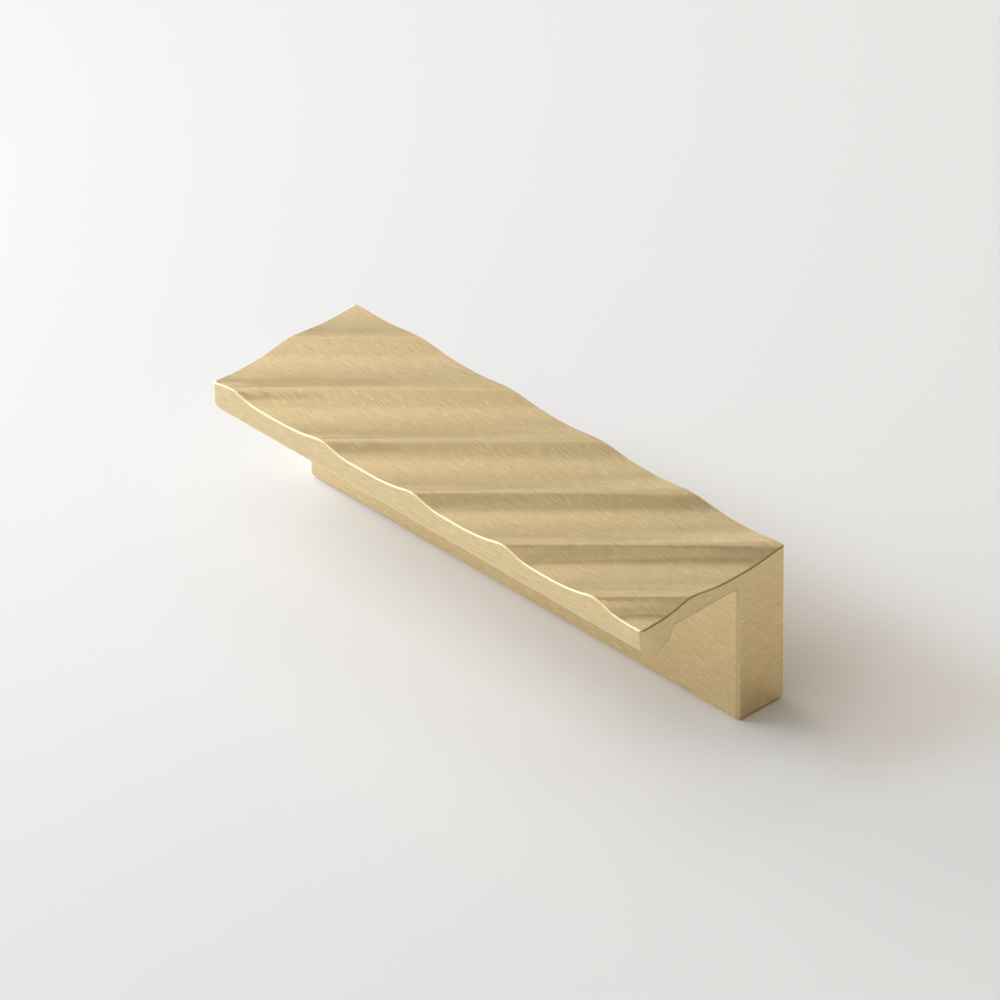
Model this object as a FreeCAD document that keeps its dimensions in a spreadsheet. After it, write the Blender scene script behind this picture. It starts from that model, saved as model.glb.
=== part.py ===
import FreeCAD, Part
import math
import os
import Sketcher

# Tab pull: a finger pull of solid brass, one piece, with a rippled top and a half-round lip.
# It is fixed to a drawer front by two screws that come through from behind.
# The origin is the centre of the leg's back face, midway between the screw holes.
# +X runs along the pull, +Y points out of the back face into the drawer front, +Z is up.

# Driving sizes, in millimetres, with angles in degrees and plain ratios where the name says so
SIZES = {
    # Outer form
    "pull_length": 100.0,
    "projection": 33.0,
    "pull_height": 30.0,
    "leg_thickness": 11.0,
    "plate_thickness": 4.0,
    # Lip: a bead along the front edge, measured down from the ripple's crests
    "lip_radius": 3.85,
    "lip_drop": 7.4,
    # Tapped screw holes in the back face
    "hole_spacing": 64.0,
    "hole_diameter": 4.0,
    "hole_floor": 3.5,
    "hole_mouth": 0.5,
    "drill_point_angle": 118.0,
    # Ripple: diagonal flutes between crests, deeper and sharper towards the front
    "flute_pitch": 21.1,
    "flute_angle": 44.3,
    "first_crest": 4.3,
    "flute_depth_front_left": 1.1,
    "flute_depth_front_right": 1.45,
    "flute_depth_back": 0.75,
    "front_trough_ratio": 0.4,
    "back_trough_ratio": 0.5,
    "front_crest_softness_ratio": 0.15,
    "back_crest_softness_ratio": 0.5,
    # Edges: roundings, and a narrow chamfer round the rippled top
    "foot_round": 1.4,
    "end_round": 0.8,
    "inner_round": 0.4,
    "top_chamfer": 0.2,
}

# The blank stands this far above the crests, for the ripple to be carved out of it
CARVING_STOCK = "sizes.flute_depth_back"

# Power of a flute's curve: 2 makes a parabola, and more makes steeper walls and a flatter floor
FLUTE_FULLNESS = 3
# Points that the ripple's curve passes through between one crest and the next
POINTS_PER_FLUTE = 12
# Whole flutes that the ripple's curve runs on past each end of the pull
SPARE_FLUTE_COUNT = 1
# Two lengths closer than this are the same edge or face
SAME_PLACE = 0.001

# Numbers by which a sketch knows a line's two ends, an arc's centre, its own origin and its upright axis
START_INDEX, END_INDEX, CENTRE_INDEX = 1, 2, 3
ORIGIN_INDEX, UPRIGHT_AXIS_INDEX = -1, -2


def make_sheet(doc):
    """Write the driving sizes to a sheet, one aliased cell each."""
    sheet = doc.addObject("Spreadsheet::Sheet", "sizes")
    for row, (alias, value) in enumerate(SIZES.items(), start=1):
        sheet.set(f"A{row}", alias)
        sheet.set(f"B{row}", str(value))
        sheet.setAlias(f"B{row}", alias)
    doc.recompute()
    return sheet


def new_sketch(body, name, role):
    """Start a sketch on one of the body's own origin planes."""
    plane = next(feature for feature in body.Origin.OriginFeatures if feature.Role == role)
    sketch = body.newObject("Sketcher::SketchObject", name)
    sketch.AttachmentSupport = [(plane, "")]
    sketch.MapMode = "FlatFace"
    return sketch


def add_size(sketch, name, expression, constraint):
    """Add a dimension to a sketch and bind it to the sheet."""
    index = sketch.addConstraint(constraint)
    sketch.renameConstraint(index, name)
    sketch.setExpression(f"Constraints.{name}", expression)


def add_blank(body, sheet):
    """Extrude the L-shaped section: leg, plate and lip, with stock left on top for the ripple."""
    half_height = sheet.pull_height / 2
    stock_top = half_height + sheet.flute_depth_back
    underside = half_height - sheet.plate_thickness
    lip_height = half_height - sheet.lip_drop + sheet.lip_radius
    lip_centre = FreeCAD.Vector(sheet.lip_radius - sheet.projection, lip_height)
    lip_end_angle = math.asin((underside - lip_height) / sheet.lip_radius)
    lip_end = lip_centre.x + sheet.lip_radius * math.cos(lip_end_angle)

    back_top = FreeCAD.Vector(0, stock_top)
    front_top = FreeCAD.Vector(-sheet.projection, stock_top)
    lip_start = FreeCAD.Vector(-sheet.projection, lip_height)
    underside_front = FreeCAD.Vector(lip_end, underside)
    underside_back = FreeCAD.Vector(-sheet.leg_thickness, underside)
    foot_front = FreeCAD.Vector(-sheet.leg_thickness, -half_height)
    foot_back = FreeCAD.Vector(0, -half_height)
    lip_circle = Part.Circle(lip_centre, FreeCAD.Vector(0, 0, 1), sheet.lip_radius)

    sketch = new_sketch(body, "section", "YZ_Plane")
    top = sketch.addGeometry(Part.LineSegment(back_top, front_top))
    front = sketch.addGeometry(Part.LineSegment(front_top, lip_start))
    lip = sketch.addGeometry(Part.ArcOfCircle(lip_circle, math.pi, 2 * math.pi + lip_end_angle))
    under = sketch.addGeometry(Part.LineSegment(underside_front, underside_back))
    leg = sketch.addGeometry(Part.LineSegment(underside_back, foot_front))
    foot = sketch.addGeometry(Part.LineSegment(foot_front, foot_back))
    back = sketch.addGeometry(Part.LineSegment(foot_back, back_top))

    for line, following in ((top, front), (lip, under), (under, leg), (leg, foot), (foot, back), (back, top)):
        sketch.addConstraint(Sketcher.Constraint("Coincident", line, END_INDEX, following, START_INDEX))
    sketch.addConstraint(Sketcher.Constraint("Tangent", front, END_INDEX, lip, START_INDEX))
    for line in (top, under, foot):
        sketch.addConstraint(Sketcher.Constraint("Horizontal", line))
    for line in (front, leg, back):
        sketch.addConstraint(Sketcher.Constraint("Vertical", line))
    sketch.addConstraint(Sketcher.Constraint("PointOnObject", foot, END_INDEX, UPRIGHT_AXIS_INDEX))

    add_size(sketch, "foot_below_origin", "sizes.pull_height / 2",
             Sketcher.Constraint("DistanceY", foot, END_INDEX, ORIGIN_INDEX, START_INDEX, half_height))
    add_size(sketch, "top_above_origin", f"sizes.pull_height / 2 + {CARVING_STOCK}",
             Sketcher.Constraint("DistanceY", ORIGIN_INDEX, START_INDEX, back, END_INDEX, stock_top))
    add_size(sketch, "projection", "sizes.projection",
             Sketcher.Constraint("DistanceX", top, END_INDEX, top, START_INDEX, sheet.projection))
    add_size(sketch, "leg_thickness", "sizes.leg_thickness",
             Sketcher.Constraint("DistanceX", foot, START_INDEX, foot, END_INDEX, sheet.leg_thickness))
    add_size(sketch, "underside_below_top", f"sizes.plate_thickness + {CARVING_STOCK}",
             Sketcher.Constraint("DistanceY", under, END_INDEX, top, START_INDEX, stock_top - underside))
    add_size(sketch, "lip_radius", "sizes.lip_radius",
             Sketcher.Constraint("Radius", lip, sheet.lip_radius))
    add_size(sketch, "lip_centre_below_top", f"sizes.lip_drop - sizes.lip_radius + {CARVING_STOCK}",
             Sketcher.Constraint("DistanceY", lip, CENTRE_INDEX, top, START_INDEX, stock_top - lip_height))

    pad = body.newObject("PartDesign::Pad", "blank")
    pad.Profile = sketch
    pad.SideType = "Symmetric"
    pad.setExpression("Length", "sizes.pull_length")
    body.Document.recompute()


def pick_edges(shape, belongs):
    """Give the names of the shape's edges that the test picks out."""
    return [f"Edge{number}" for number, edge in enumerate(shape.Edges, start=1) if belongs(edge)]


def round_edges(body, name, size, belongs):
    """Round every edge of the body as it stands that the test picks out."""
    base = body.Tip
    fillet = body.newObject("PartDesign::Fillet", name)
    fillet.Base = (base, pick_edges(base.Shape, belongs))
    fillet.setExpression("Radius", f"sizes.{size}")
    body.Document.recompute()


def lies_at(edge, axis, place):
    """Tell whether both ends of an edge lie at one place on an axis."""
    return all(abs(getattr(vertex.Point, axis) - place) < SAME_PLACE for vertex in edge.Vertexes)


def round_section_corners(body, sheet):
    """Round the foot's two long edges and the two corners under the plate."""
    half_height = sheet.pull_height / 2
    underside = half_height - sheet.plate_thickness

    def runs_along_pull(edge):
        return abs(edge.Length - sheet.pull_length) < SAME_PLACE

    round_edges(body, "foot_rounding", "foot_round",
                lambda edge: runs_along_pull(edge) and lies_at(edge, "z", -half_height))
    round_edges(body, "inner_rounding", "inner_round",
                lambda edge: runs_along_pull(edge) and lies_at(edge, "z", underside))


def add_screw_holes(body, sheet):
    """Drill two blind holes into the leg from its back face, with countersunk mouths."""
    sketch = new_sketch(body, "hole_centres", "XZ_Plane")
    upright = FreeCAD.Vector(0, 0, 1)
    half_spacing = sheet.hole_spacing / 2
    radius = sheet.hole_diameter / 2
    left = sketch.addGeometry(Part.Circle(FreeCAD.Vector(-half_spacing, 0), upright, radius))
    right = sketch.addGeometry(Part.Circle(FreeCAD.Vector(half_spacing, 0), upright, radius))
    sketch.addConstraint(Sketcher.Constraint(
        "Symmetric", left, CENTRE_INDEX, right, CENTRE_INDEX, ORIGIN_INDEX, START_INDEX))
    sketch.addConstraint(Sketcher.Constraint("Horizontal", left, CENTRE_INDEX, right, CENTRE_INDEX))
    sketch.addConstraint(Sketcher.Constraint("Equal", left, right))
    add_size(sketch, "hole_spacing", "sizes.hole_spacing",
             Sketcher.Constraint("DistanceX", left, CENTRE_INDEX, right, CENTRE_INDEX, sheet.hole_spacing))
    add_size(sketch, "hole_diameter", "sizes.hole_diameter",
             Sketcher.Constraint("Diameter", left, sheet.hole_diameter))
    body.Document.recompute()

    solid_volume = body.Shape.Volume
    hole = body.newObject("PartDesign::Hole", "screw_holes")
    hole.Profile = sketch
    hole.Reversed = True
    hole.DepthType = "Dimension"
    hole.DrillPoint = "Angled"
    hole.HoleCutType = "Countersink"
    hole.setExpression("Diameter", "sizes.hole_diameter")
    hole.setExpression("Depth", "sizes.leg_thickness - sizes.hole_floor")
    hole.setExpression("DrillPointAngle", "sizes.drill_point_angle")
    hole.setExpression("HoleCutDiameter", "sizes.hole_diameter + 2 * sizes.hole_mouth")
    body.Document.recompute()
    if body.Shape.Volume >= solid_volume:
        raise RuntimeError("the screw holes cut nothing")


def flute_drop(phase, depth, trough, softness):
    """Give how far the ripple lies below its crests, from one crest at phase 0 to the next at 1.

    A flute is a scallop, deepest at the trough's phase, and the softness rounds the crests beside it.
    """
    way_down = phase / trough if phase < trough else (1 - phase) / (1 - trough)
    eased = (math.hypot(way_down, softness) - softness) / (math.hypot(1, softness) - softness)
    return depth * (1 - (1 - eased) ** FLUTE_FULLNESS)


def wave_points(sheet, first_crest, depth_left, depth_right, trough, softness):
    """Give points along one wave of the ripple, past both ends of the pull at any lean.

    The flutes' depth changes evenly from the pull's left end to its right end.
    """
    half_length = sheet.pull_length / 2
    lean = sheet.projection * math.tan(math.radians(sheet.flute_angle))
    flutes_left = math.ceil((sheet.first_crest + lean) / sheet.flute_pitch) + SPARE_FLUTE_COUNT
    flutes_right = math.ceil((sheet.pull_length - sheet.first_crest) / sheet.flute_pitch) + SPARE_FLUTE_COUNT
    points = []
    for step in range((flutes_left + flutes_right) * POINTS_PER_FLUTE + 1):
        turns = step / POINTS_PER_FLUTE - flutes_left
        from_left = first_crest + turns * sheet.flute_pitch
        depth = depth_left + (depth_right - depth_left) * from_left / sheet.pull_length
        drop = flute_drop(turns % 1, depth, trough, softness)
        points.append(FreeCAD.Vector(from_left - half_length, sheet.pull_height / 2 - drop))
    return points


def add_ripple_section(body, name, in_front, top, wave):
    """Draw one end of the ripple's cut: a wave below, and straight sides up past the blank's top."""
    curve = Part.BSplineCurve()
    curve.interpolate(Points=wave, Parameters=[float(step) for step in range(len(wave))])
    left_top = FreeCAD.Vector(wave[0].x, top)
    right_top = FreeCAD.Vector(wave[-1].x, top)
    sketch = new_sketch(body, name, "XZ_Plane")
    sketch.setExpression("AttachmentOffset.Base.z", in_front)
    sketch.addGeometry(curve)
    sketch.addGeometry(Part.LineSegment(wave[-1], right_top))
    sketch.addGeometry(Part.LineSegment(right_top, left_top))
    sketch.addGeometry(Part.LineSegment(left_top, wave[0]))
    return sketch


def carve_ripple(body, sheet):
    """Cut the rippled top: straight rulings join a sharp deep wave in front to a soft one behind.

    Both waves stand clear of the faces that they cut through by the height of the stock.
    """
    stock = sheet.flute_depth_back
    lean_ratio = math.tan(math.radians(sheet.flute_angle))
    above_stock = sheet.pull_height / 2 + 2 * stock
    front_wave = wave_points(
        sheet, sheet.first_crest - stock * lean_ratio,
        sheet.flute_depth_front_left, sheet.flute_depth_front_right,
        sheet.front_trough_ratio, sheet.front_crest_softness_ratio)
    back_wave = wave_points(
        sheet, sheet.first_crest + (sheet.projection + stock) * lean_ratio,
        sheet.flute_depth_back, sheet.flute_depth_back,
        sheet.back_trough_ratio, sheet.back_crest_softness_ratio)
    front = add_ripple_section(
        body, "ripple_front", f"sizes.projection + {CARVING_STOCK}", above_stock, front_wave)
    back = add_ripple_section(body, "ripple_back", f"-{CARVING_STOCK}", above_stock, back_wave)
    body.Document.recompute()

    solid_volume = body.Shape.Volume
    cut = body.newObject("PartDesign::SubtractiveLoft", "ripple")
    cut.Profile = front
    cut.Sections = [back]
    cut.Ruled = True
    body.Document.recompute()
    if body.Shape.Volume >= solid_volume:
        raise RuntimeError("the ripple cut nothing")


def round_ends(body, sheet):
    """Round the outline of both ends, all but their top edge."""
    half_length = sheet.pull_length / 2
    stock_top = sheet.pull_height / 2 + sheet.flute_depth_back
    round_edges(body, "end_rounding", "end_round",
                lambda edge: (lies_at(edge, "x", half_length) or lies_at(edge, "x", -half_length))
                and not lies_at(edge, "z", stock_top))


def chamfer_top(body):
    """Take the sharpness off the edge that runs right round the rippled top."""
    base = body.Tip
    freeform = [face for face in base.Shape.Faces if isinstance(face.Surface, Part.BSplineSurface)]
    ripple = max(freeform, key=lambda face: face.Area)
    chamfer = body.newObject("PartDesign::Chamfer", "top_chamfer")
    chamfer.Base = (base, pick_edges(
        base.Shape, lambda edge: any(edge.isSame(border) for border in ripple.Edges)))
    chamfer.setExpression("Size", "sizes.top_chamfer")
    body.Document.recompute()


def make_tab_pull(doc, sheet):
    """Build the pull, the one piece that the object is made of."""
    body = doc.addObject("PartDesign::Body", "tab_pull")
    body.Label = "tab_pull"
    body.Placement = FreeCAD.Placement()
    add_blank(body, sheet)
    round_section_corners(body, sheet)
    add_screw_holes(body, sheet)
    round_ends(body, sheet)
    carve_ripple(body, sheet)
    chamfer_top(body)
    return body


def check(doc, pieces):
    """Stop if anything in the document failed, or a piece is not one sound solid."""
    doc.recompute()
    for item in doc.Objects:
        if "Invalid" in item.State or "Error" in item.State:
            raise RuntimeError(f"{item.Name} failed: {item.State}")
    for piece in pieces:
        if piece.Shape.isNull() or not piece.Shape.isValid() or len(piece.Shape.Solids) != 1:
            raise RuntimeError(f"{piece.Label} is not one sound solid")


def main():
    doc = FreeCAD.newDocument("tab_pull")
    sheet = make_sheet(doc)
    pieces = [make_tab_pull(doc, sheet)]
    check(doc, pieces)
    os.makedirs("parts", exist_ok=True)
    for piece in pieces:
        piece.Shape.exportStep(f"parts/{piece.Label}.step")
        print(piece.Label, "volume", round(piece.Shape.Volume, 1), "mm3")


main()
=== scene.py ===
import math

import bpy
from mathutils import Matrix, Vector


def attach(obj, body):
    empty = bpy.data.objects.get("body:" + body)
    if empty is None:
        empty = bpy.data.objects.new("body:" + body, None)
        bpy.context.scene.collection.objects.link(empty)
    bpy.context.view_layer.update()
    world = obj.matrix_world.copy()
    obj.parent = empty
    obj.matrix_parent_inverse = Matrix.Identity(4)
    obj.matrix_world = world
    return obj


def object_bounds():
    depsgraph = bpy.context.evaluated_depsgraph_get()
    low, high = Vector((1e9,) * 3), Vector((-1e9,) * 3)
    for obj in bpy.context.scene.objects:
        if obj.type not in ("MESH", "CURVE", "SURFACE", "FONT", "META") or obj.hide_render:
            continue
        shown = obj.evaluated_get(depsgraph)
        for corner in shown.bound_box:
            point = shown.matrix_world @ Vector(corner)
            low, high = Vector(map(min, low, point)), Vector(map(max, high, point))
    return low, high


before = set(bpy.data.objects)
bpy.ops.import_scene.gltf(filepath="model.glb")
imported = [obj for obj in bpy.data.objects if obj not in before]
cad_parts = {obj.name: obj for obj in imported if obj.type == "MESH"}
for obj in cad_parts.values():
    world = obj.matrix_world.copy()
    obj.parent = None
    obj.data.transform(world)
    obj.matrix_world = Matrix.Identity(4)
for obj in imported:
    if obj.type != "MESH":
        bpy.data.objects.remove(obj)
cad_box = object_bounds()

# Looks of a tab pull in satin brass: brushed finish, screw threads, floor, light and the photograph's camera.
# Lengths are in metres in the part's frame: +X along the pull, +Y into the drawer front, +Z up.
# Azimuths run round the part from its front, in degrees: 0 is in front of the lip and 90 at its right end.
MM = 0.001

# Camera: the photograph's view, through a long lens from far away
VIEW_AZIMUTH = 45.56
VIEW_ELEVATION = 34.25
IMAGE_SIZE = 1000
PIXELS_PER_METRE = 6109
ORIGIN_PIXEL = (569.6, 497.1)
CAMERA_DISTANCE = 4.5

# Floor, soft boxes and the dim room round them
FLOOR_SIZE = 12.0
FLOOR_COLOUR = (0.82, 0.80, 0.77, 1)
ROOM_COLOUR = (0.12, 0.09, 0.05, 1)
USUAL_DISTANCE = 4.2
NEUTRAL = (1, 1, 1)
COOL = (0.7, 1.0, 1.4)
SOFT_BOXES = {
    "left_wall": dict(azimuth=-75, elevation=13, width=3.85, height=2.1, watts=136),
    "low_strip": dict(azimuth=-90, elevation=12, width=7.0, height=0.88, watts=92),
    "middle_strip": dict(azimuth=-90, elevation=49, width=7.0, height=0.84, watts=8),
    "top_strip": dict(azimuth=-90, elevation=70, width=7.0, height=0.42, watts=4.3),
    "front_spot": dict(azimuth=-45, elevation=34, width=1.05, height=1.05, watts=40, tint=COOL),
    "front_fill": dict(azimuth=-20, elevation=50, width=2.8, height=2.1, watts=50),
    "overhead": dict(azimuth=0, elevation=75, width=3.5, height=2.1, watts=28),
    "back_glow": dict(azimuth=-152, elevation=8, width=2.25, height=1.1, watts=22),
    "right_wall": dict(azimuth=65, elevation=14, width=7.0, height=2.1, watts=28),
    "back_fill": dict(azimuth=170, elevation=55, width=2.1, height=1.75, watts=7),
    "near_key": dict(azimuth=-100, elevation=45, width=0.3, height=0.25, watts=0.17, distance=0.35),
    "near_left": dict(azimuth=-62, elevation=14, width=0.2, height=0.1, watts=0.08, distance=0.24, tint=COOL),
}

# Brass: its tones, the marks that brushing leaves in it, and a darker tone painted on its edges as shade
BRASS_LIGHT = (0.89, 0.70, 0.40, 1)
BRASS_DEEP = (0.68, 0.525, 0.28, 1)
BRASS_SCRATCH = (0.97, 0.86, 0.62, 1)
# Painted shade: a darker tone on the rounded edges that stands in for the dim room they reflect, and dims the
# front edge's highlight
BRASS_PAINTED_EDGE_SHADE = (0.76, 0.59, 0.34, 1)
BRASS_ROUGHNESS = 0.30
EDGE_ROUGHNESS = 0.5
BRASS_ANISOTROPY = 0.8
LONG_HAIRLINES = dict(length=4 * MM, width=0.16 * MM, slant=0.02)
SHORT_HAIRLINES = dict(length=2.5 * MM, width=0.12 * MM, slant=-0.05)
SCRATCHES = dict(length=3 * MM, width=0.15 * MM, slant=0.08)
STREAK_DETAIL = 2
STREAK_ROUGHNESS = 0.6
HAIRLINE_RANGE = (0.34, 0.66)
SCRATCH_RANGE = (0.62, 0.78)
RELIEF_STRENGTH = 0.25
RELIEF_HEIGHT = 0.006 * MM

# Faces and edges of the part, told apart by the largest part of the surface normal
END_NORMAL = 0.75
LEVEL_NORMAL = 0.7
EDGE_NORMAL_RANGE = (0.93, 0.78)
EDGE_SOFTNESS = 0.22 * MM
EDGE_SAMPLES = 6

# Screw threads, wound into the two bores of the CAD part
HOLE_SPACING = 64 * MM
THREAD_ROOT_RADIUS = 2.01 * MM
THREAD_PITCH = 0.7 * MM
THREAD_HEIGHT = 0.38 * MM
THREAD_START = 0.5 * MM
THREAD_DEPTH = 6.6 * MM
THREAD_STEPS_PER_TURN = 32

# Places of a mix node's two inputs and of its output, for each kind of value
MIX_PLACES = {"FLOAT": (2, 3, 0), "VECTOR": (4, 5, 1), "RGBA": (6, 7, 2)}


def direction(azimuth, elevation):
    """Give the unit vector towards an azimuth and elevation, in degrees."""
    turn = math.radians(azimuth)
    rise = math.radians(elevation)
    return Vector((math.sin(turn) * math.cos(rise), -math.cos(turn) * math.cos(rise), math.sin(rise)))


def aim(thing, target):
    """Turn a lamp or camera to look at a point."""
    thing.rotation_euler = (target - thing.location).to_track_quat("-Z", "Y").to_euler()


def link(name, data):
    """Put new data into the scene as an object."""
    thing = bpy.data.objects.new(name, data)
    bpy.context.scene.collection.objects.link(thing)
    return thing


def add_node(tree, kind, inputs=None, **settings):
    """Add a node, set its properties, and set or link its inputs."""
    node = tree.nodes.new(kind)
    for name, value in settings.items():
        setattr(node, name, value)
    for name, value in (inputs or {}).items():
        if isinstance(value, bpy.types.NodeSocket):
            tree.links.new(value, node.inputs[name])
        else:
            node.inputs[name].default_value = value
    return node


def new_material(name):
    """Start a node material that holds only its output."""
    material = bpy.data.materials.new(name)
    material.use_nodes = True
    material.node_tree.nodes.clear()
    output = add_node(material.node_tree, "ShaderNodeOutputMaterial")
    return material, material.node_tree, output


def compute(tree, operation, *values):
    """Work out a number from one or two others."""
    node = add_node(tree, "ShaderNodeMath", dict(enumerate(values)), operation=operation)
    return node.outputs["Value"]


def compute_vector(tree, operation, *values):
    """Work out a vector from up to three others."""
    node = add_node(tree, "ShaderNodeVectorMath", dict(enumerate(values)), operation=operation)
    return node.outputs["Vector"]


def separate(tree, vector):
    """Give a vector's parts, by the names X, Y and Z."""
    return add_node(tree, "ShaderNodeSeparateXYZ", {"Vector": vector}).outputs


def mix(tree, kind, share, first, second):
    """Give the first value where the share is 0, the second where it is 1, and a blend between them."""
    first_place, second_place, output_place = MIX_PLACES[kind]
    inputs = {"Factor": share, first_place: first, second_place: second}
    return add_node(tree, "ShaderNodeMix", inputs, data_type=kind).outputs[output_place]


def rescale(tree, value, old_range, new_range):
    """Map a value's old range onto a new one, and hold it at the new one's ends."""
    node = add_node(tree, "ShaderNodeMapRange", {
        "Value": value,
        "From Min": old_range[0],
        "From Max": old_range[1],
        "To Min": new_range[0],
        "To Max": new_range[1],
    })
    return node.outputs["Result"]


def add_camera():
    """Place the camera so that the part's origin falls on its pixel in the photograph."""
    back = direction(VIEW_AZIMUTH, VIEW_ELEVATION)
    right = direction(VIEW_AZIMUTH + 90, 0)
    up = back.cross(right)
    across = (IMAGE_SIZE / 2 - ORIGIN_PIXEL[0]) / PIXELS_PER_METRE
    rise = (ORIGIN_PIXEL[1] - IMAGE_SIZE / 2) / PIXELS_PER_METRE
    centre = right * across + up * rise
    camera = link("camera", bpy.data.cameras.new("camera"))
    camera.data.lens = camera.data.sensor_width * CAMERA_DISTANCE * PIXELS_PER_METRE / IMAGE_SIZE
    camera.location = centre + back * CAMERA_DISTANCE
    aim(camera, centre)
    bpy.context.scene.camera = camera


def add_floor():
    """Lay a plain pale floor under the part's foot."""
    half = FLOOR_SIZE / 2
    corners = [(-half, -half, 0), (half, -half, 0), (half, half, 0), (-half, half, 0)]
    mesh = bpy.data.meshes.new("floor")
    mesh.from_pydata(corners, [], [(0, 1, 2, 3)])
    floor = link("floor", mesh)
    floor.location.z = cad_box[0].z
    material, tree, output = new_material("pale_floor")
    diffuse = add_node(tree, "ShaderNodeBsdfDiffuse", {"Color": FLOOR_COLOUR})
    tree.links.new(diffuse.outputs["BSDF"], output.inputs["Surface"])
    mesh.materials.append(material)


def add_soft_box(name, azimuth, elevation, width, height, watts, distance=USUAL_DISTANCE, tint=NEUTRAL):
    """Hang one soft box and aim it at the part."""
    lamp = bpy.data.lights.new(name, "AREA")
    lamp.shape = "RECTANGLE"
    lamp.size = width
    lamp.size_y = height
    lamp.energy = watts
    lamp.color = tint
    box = link(name, lamp)
    box.visible_camera = False
    box.location = direction(azimuth, elevation) * distance
    aim(box, Vector((0, 0, 0)))


def add_room():
    """Fill in from all round with the room's dim warm light."""
    room = bpy.data.worlds.new("room")
    bpy.context.scene.world = room
    room.use_nodes = True
    room.node_tree.nodes["Background"].inputs["Color"].default_value = ROOM_COLOUR


def faces_along(tree, normal_part, least):
    """Give 1 where the surface faces along an axis, either way, and 0 elsewhere."""
    return compute(tree, "GREATER_THAN", compute(tree, "ABSOLUTE", normal_part), least)


def edge_share(tree, normal):
    """Give 0 on the faces, which lie nearly square to an axis, rising to 1 on the edges between them."""
    parts = separate(tree, compute_vector(tree, "ABSOLUTE", normal))
    level = compute(tree, "MAXIMUM", parts["X"], parts["Y"])
    largest = compute(tree, "MAXIMUM", level, parts["Z"])
    return rescale(tree, largest, EDGE_NORMAL_RANGE, (0, 1))


def brush_frame(tree, place):
    """Give the distances along and across the brushing, and the direction across it.

    The part is brushed along its length, and its two ends are brushed from front to back.
    """
    point = separate(tree, place["Object"])
    normal = separate(tree, place["Normal"])
    at_end = faces_along(tree, normal["X"], END_NORMAL)
    level = faces_along(tree, normal["Z"], LEVEL_NORMAL)
    distances = add_node(tree, "ShaderNodeCombineXYZ", {
        "X": mix(tree, "FLOAT", at_end, point["X"], point["Y"]),
        "Y": mix(tree, "FLOAT", level, point["Z"], point["Y"]),
    })
    heading = mix(tree, "VECTOR", at_end, (1, 0, 0), (0, 1, 0))
    across = compute_vector(tree, "CROSS_PRODUCT", place["Normal"], heading)
    return distances.outputs["Vector"], across


def streaks(tree, distances, length, width, slant):
    """Give noise that is drawn out along the brushing, or a little aslant of it."""
    along = separate(tree, distances)["X"]
    sheared = compute_vector(tree, "MULTIPLY_ADD", along, (0, slant, 0), distances)
    stretched = compute_vector(tree, "MULTIPLY", sheared, (1 / length, 1 / width, 0))
    inputs = {"Vector": stretched, "Scale": 1, "Detail": STREAK_DETAIL, "Roughness": STREAK_ROUGHNESS}
    return add_node(tree, "ShaderNodeTexNoise", inputs, noise_dimensions="2D").outputs["Fac"]


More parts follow.
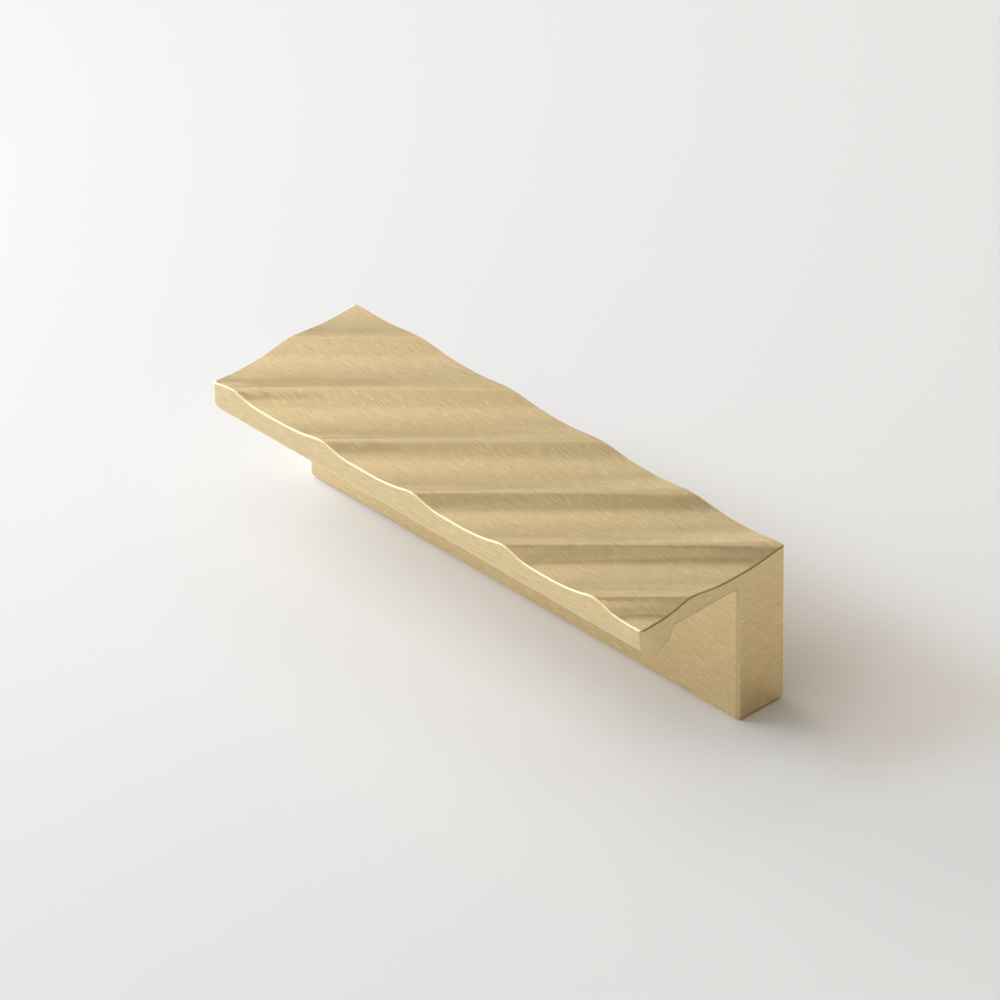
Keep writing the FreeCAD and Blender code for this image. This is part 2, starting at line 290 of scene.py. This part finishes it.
def make_brushed_brass():
    """Satin brass: two crossing sets of hairlines, a few bright scratches, rougher edges, and painted shade
    that darkens the edges' colour.
    """
    material, tree, output = new_material("brushed_brass")
    place = add_node(tree, "ShaderNodeTexCoord").outputs
    distances, across = brush_frame(tree, place)
    long_hairlines = streaks(tree, distances, **LONG_HAIRLINES)
    short_hairlines = streaks(tree, distances, **SHORT_HAIRLINES)
    hairlines = mix(tree, "FLOAT", 0.5, long_hairlines, short_hairlines)
    tone = rescale(tree, hairlines, HAIRLINE_RANGE, (0, 1))
    scratches = rescale(tree, streaks(tree, distances, **SCRATCHES), SCRATCH_RANGE, (0, 1))
    # The edge share sets the rougher edges and also the painted shade on them
    edges = edge_share(tree, place["Normal"])
    ground = mix(tree, "RGBA", tone, BRASS_DEEP, BRASS_LIGHT)
    scratched = mix(tree, "RGBA", scratches, ground, BRASS_SCRATCH)
    soft_edges = add_node(tree, "ShaderNodeBevel", {"Radius": EDGE_SOFTNESS}, samples=EDGE_SAMPLES)
    relief = add_node(tree, "ShaderNodeBump", {
        "Strength": RELIEF_STRENGTH,
        "Distance": RELIEF_HEIGHT,
        "Height": hairlines,
        "Normal": soft_edges.outputs["Normal"],
    })
    surface = add_node(tree, "ShaderNodeBsdfPrincipled", {
        # Painted shade: the edges take the darker edge colour
        "Base Color": mix(tree, "RGBA", edges, scratched, BRASS_PAINTED_EDGE_SHADE),
        "Metallic": 1,
        "Roughness": rescale(tree, edges, (0, 1), (BRASS_ROUGHNESS, EDGE_ROUGHNESS)),
        "Anisotropic": BRASS_ANISOTROPY,
        "Tangent": across,
        "Normal": relief.outputs["Normal"],
    })
    tree.links.new(surface.outputs["BSDF"], output.inputs["Surface"])
    return material


def add_thread(name, hole_x, brass):
    """Wind a V-shaped ridge down one bore, fading out at both ends."""
    turns = (THREAD_DEPTH - THREAD_START) / THREAD_PITCH
    steps = round(turns * THREAD_STEPS_PER_TURN)
    vertices = []
    for step in range(steps + 1):
        turn = 2 * math.pi * step / THREAD_STEPS_PER_TURN
        middle = -THREAD_START - THREAD_PITCH * step / THREAD_STEPS_PER_TURN
        fade = min(1, (step + 1) / THREAD_STEPS_PER_TURN, (steps + 1 - step) / THREAD_STEPS_PER_TURN)
        half_foot = THREAD_PITCH / 2 * fade
        crest_radius = THREAD_ROOT_RADIUS - THREAD_HEIGHT * fade
        section = ((half_foot, THREAD_ROOT_RADIUS), (0, crest_radius), (-half_foot, THREAD_ROOT_RADIUS))
        for along, radius in section:
            vertices.append((hole_x + radius * math.cos(turn), middle + along, radius * math.sin(turn)))
    faces = []
    for step in range(steps):
        for flank in (0, 1):
            corner = 3 * step + flank
            faces.append((corner, corner + 1, corner + 4, corner + 3))
    mesh = bpy.data.meshes.new(name)
    mesh.from_pydata(vertices, [], faces)
    mesh.materials.append(brass)
    thread = link(name, mesh)
    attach(thread, "root")


def dress_pull(brass):
    """Give the CAD part its finish and its two holes their threads."""
    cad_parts["tab_pull"].material_slots[0].material = brass
    add_thread("thread_left", -HOLE_SPACING / 2, brass)
    add_thread("thread_right", HOLE_SPACING / 2, brass)


bpy.context.scene.view_settings.view_transform = "Standard"
add_camera()
add_floor()
for box_name, settings in SOFT_BOXES.items():
    add_soft_box(box_name, **settings)
add_room()
dress_pull(make_brushed_brass())
